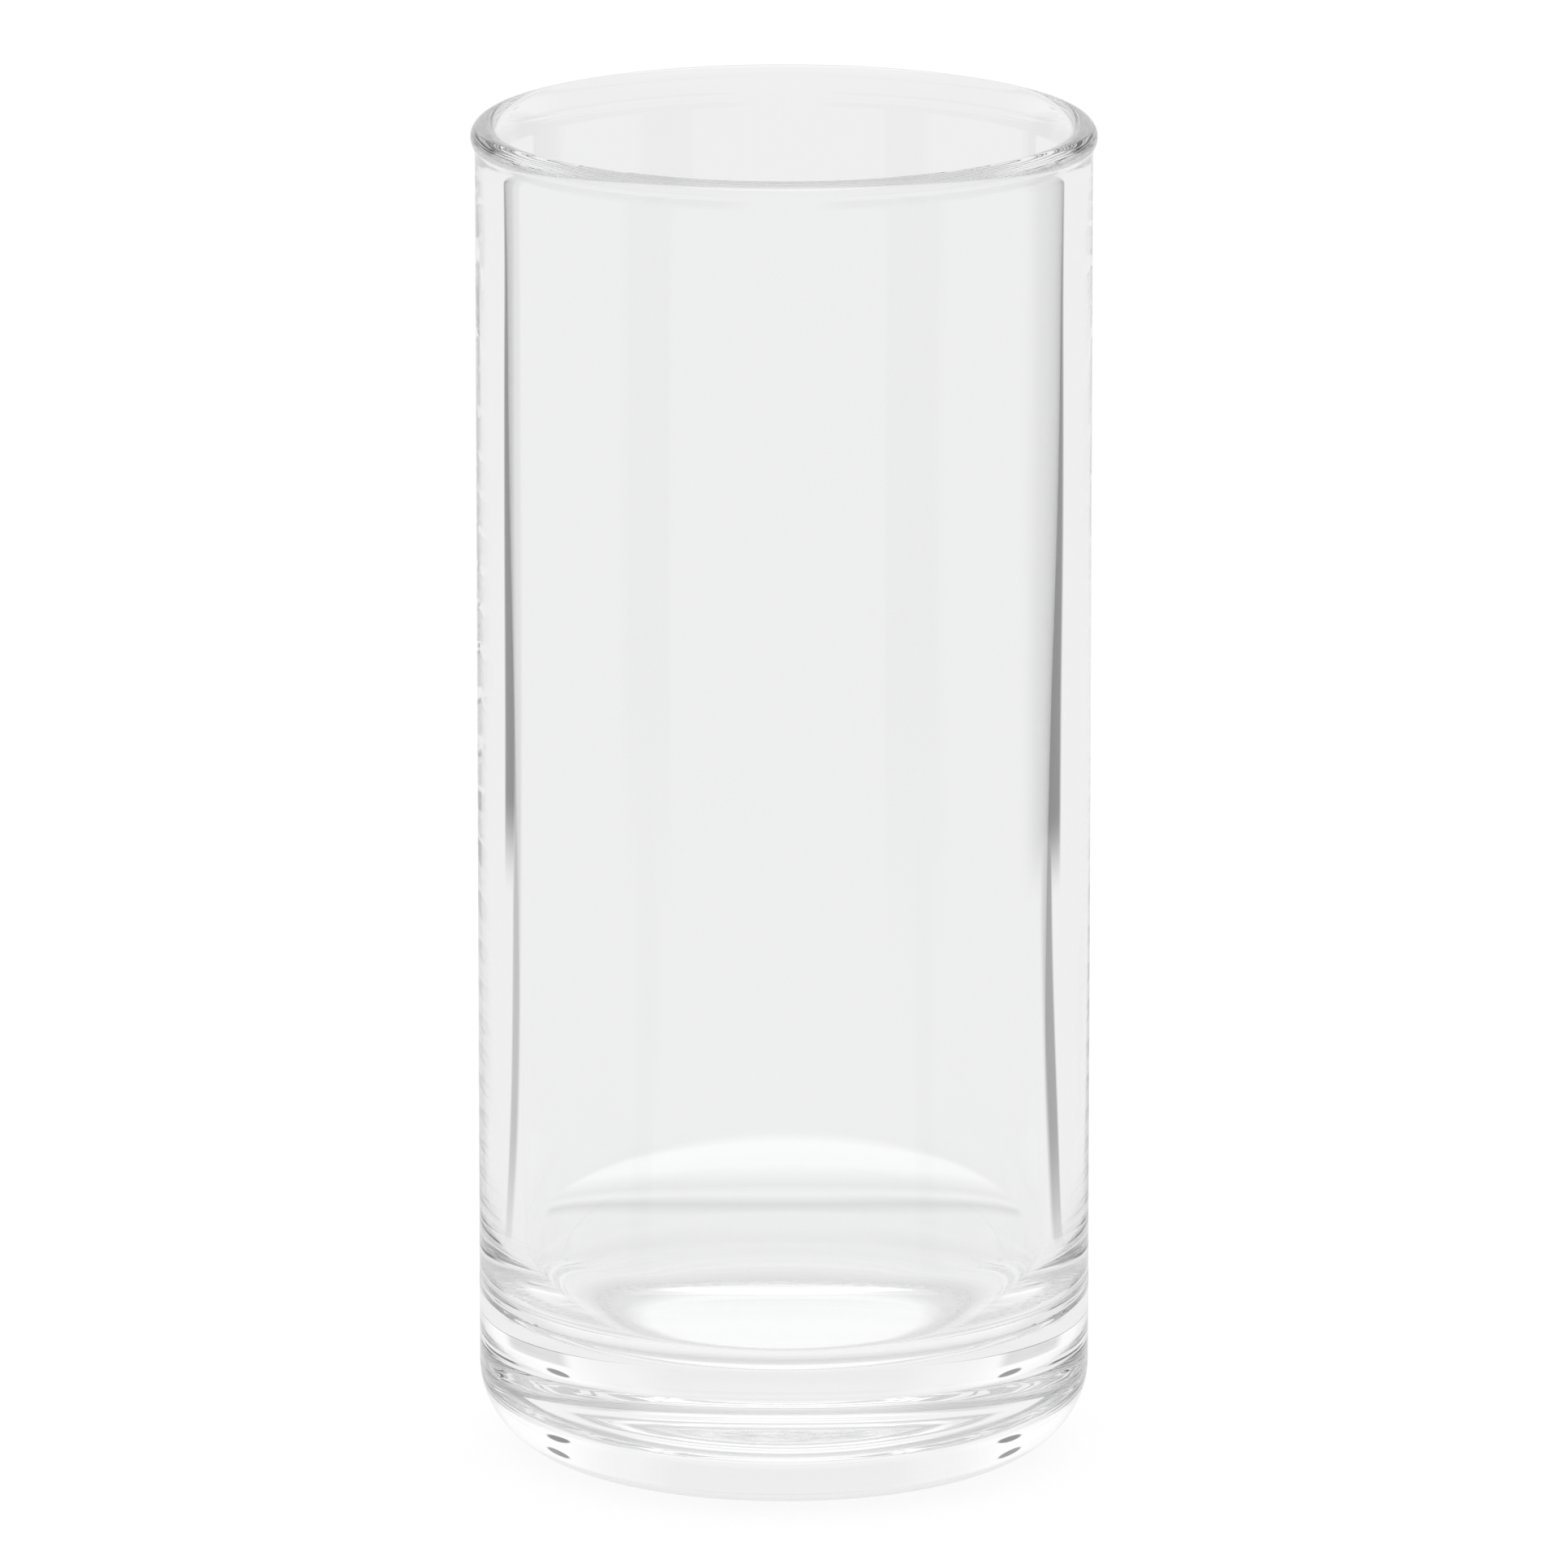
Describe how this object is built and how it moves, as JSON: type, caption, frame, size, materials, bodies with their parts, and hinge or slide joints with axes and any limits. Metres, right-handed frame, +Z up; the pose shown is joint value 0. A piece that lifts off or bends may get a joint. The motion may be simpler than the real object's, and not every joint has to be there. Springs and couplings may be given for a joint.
{
  "type": "juice glass",
  "caption": "Tall straight-sided juice glass in clear colourless glass, with a heavy base, a rounded heel and a fire-polished lip that stands slightly proud of the wall.",
  "frame": {"origin": "centre of the foot, on the surface that the glass stands on", "axes": "+Z up along the axis of the glass, from the foot to the mouth; X and Y are any two directions across it"},
  "size_m": [0.0628, 0.0628, 0.137],
  "materials": {
    "clear_glass": "clear colourless soda-lime glass, polished"
  },
  "bodies": {
    "root": {"tumbler": "clear_glass"}
  },
  "joints": []
}
